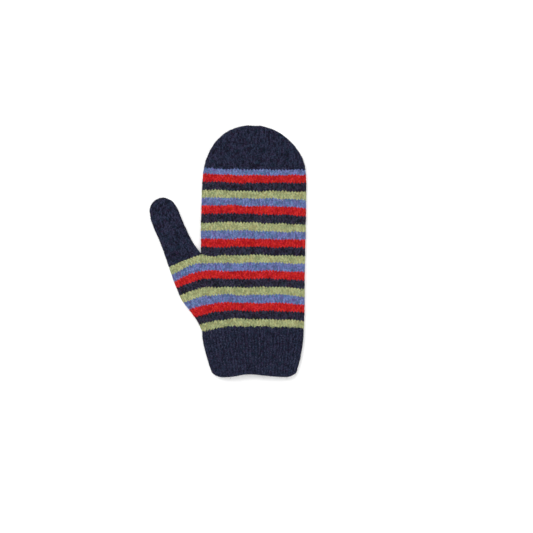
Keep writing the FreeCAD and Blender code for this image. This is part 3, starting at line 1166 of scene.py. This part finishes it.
def stripe_pieces():
    """The twenty stripes: below the crotch they run round the gusset too."""
    for index in range(STRIPE_COUNT):
        colour = COLOURS[index % len(COLOURS)]
        node = f"{colour}_stripe_{index // len(COLOURS) + 1}"
        first = index * COURSES_A_STRIPE
        last = min(first + COURSES_A_STRIPE, CROWN_ROW)
        in_gusset = index < CROTCH_STRIPE
        tube, lay_course = (palm_tube, gusset_course) if in_gusset else (hand_tube, hand_course)
        knitted_piece(colour, node, tube, first, last, lay_course, motion(index))


def sewn_seam(node, centre, radius, middle_angle, reach, move):
    """The yarn that draws a closed end together, whipped along the inside of its edge."""
    pitch, points_a_turn, whip_radius, thickness, ply_turn = 2.4, 12, 0.5, 0.45, 6
    low, high = (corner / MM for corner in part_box(node))
    z = (low.z + high.z) / 2
    turns = int(radius * math.radians(reach) / pitch)
    count = turns * points_a_turn
    turn = np.linspace(0, 1, count)
    angle = np.radians(middle_angle + reach * (turn - 0.5))
    whip = 2 * np.pi * turns * turn

    def spiral(out, up):
        """Points along the seam, out from its arc and up by so much."""
        x = centre[0] + (radius + out) * np.cos(angle)
        y = centre[1] + (radius + out) * np.sin(angle)
        return np.stack([x, y, z + up], 1)

    there = spiral(whip_radius * np.cos(whip), whip_radius * np.sin(whip))
    back = spiral(0.0, np.zeros(count))[::-4]
    middle = np.concatenate([there, back])
    normal = np.tile((0.0, 0.0, 1.0), (len(middle), 1))
    heap = Heap()
    sweep(heap, middle, normal, thickness, twist=np.arange(len(middle)) / ply_turn)
    finish_piece(f"{node}_yarn", heap, "navy", node, move)


cuff_piece()
stripe_pieces()
knitted_piece("navy", "crown_cap", hand_tube, CROWN_ROW, LAST_ROW, hand_course, ride_fingers)
knitted_piece("navy", "thumb_tube", thumb_tube, 0, LAST_THUMB_ROW, thumb_course, fold_thumb)
sewn_seam("crown_seam", CROWN_CENTRE, CROWN_RADIUS - WALL, 90, 116, ride_fingers)
sewn_seam("thumb_seam", TIP_CENTRE, TIP_RADIUS - WALL, 110, 112, fold_thumb)

# ------------------------------
# Floor, light and camera


def make_floor():
    """A plain white floor, lit a little from within so that it stays as pale as the backdrop."""
    mesh = bpy.data.meshes.new("floor")
    reach = 3.0
    corners = [(-reach, -reach, 0), (reach, -reach, 0), (reach, reach, 0), (-reach, reach, 0)]
    mesh.from_pydata(corners, [], [(0, 1, 2, 3)])
    material = bpy.data.materials.new("pale_floor")
    material.use_nodes = True
    shader = material.node_tree.nodes["Principled BSDF"]
    shader.inputs["Base Color"].default_value = (0.97, 0.97, 0.97, 1)
    shader.inputs["Emission Color"].default_value = (1, 1, 1, 1)
    shader.inputs["Emission Strength"].default_value = 0.1
    shader.inputs["Roughness"].default_value = 0.9
    shader.inputs["Specular IOR Level"].default_value = 0.1
    mesh.materials.append(material)
    floor = bpy.data.objects.new("floor", mesh)
    bpy.context.scene.collection.objects.link(floor)


def make_light(name, place, size, power):
    """A round soft light that points at the mitten."""
    light = bpy.data.lights.new(name, "AREA")
    light.shape = "DISK"
    light.size = size
    light.energy = power
    lamp = bpy.data.objects.new(name, light)
    lamp.location = place
    direction = -np.array(place)
    lamp.rotation_euler = (
        math.atan2(math.hypot(*direction[:2]), -direction[2]), 0,
        math.atan2(direction[1], direction[0]) - math.pi / 2,
    )
    bpy.context.scene.collection.objects.link(lamp)


def make_world():
    """Even white light from all round."""
    world = bpy.data.worlds.new("studio")
    bpy.context.scene.world = world
    world.use_nodes = True
    sky = world.node_tree.nodes["Background"]
    sky.inputs["Color"].default_value = (1, 1, 1, 1)
    sky.inputs["Strength"].default_value = 0.65


def make_camera():
    """Straight above, framed as wide as the photograph is at the mitten's middle height."""
    frame_width = 0.533
    distance = 2.4
    middle_height = 0.009
    camera = bpy.data.cameras.new("camera")
    camera.sensor_width = 36.0
    camera.lens = camera.sensor_width * distance / frame_width
    camera.clip_end = 20.0
    holder = bpy.data.objects.new("camera", camera)
    holder.location = (0.0382, -0.015, distance + middle_height)
    bpy.context.scene.collection.objects.link(holder)
    bpy.context.scene.camera = holder


make_floor()
make_world()
make_light("key", (-0.55, 0.75, 1.85), 1.2, 24)
make_light("fill", (0.8, -0.5, 1.9), 1.3, 13)
make_camera()
bpy.context.scene.view_settings.view_transform = "Standard"
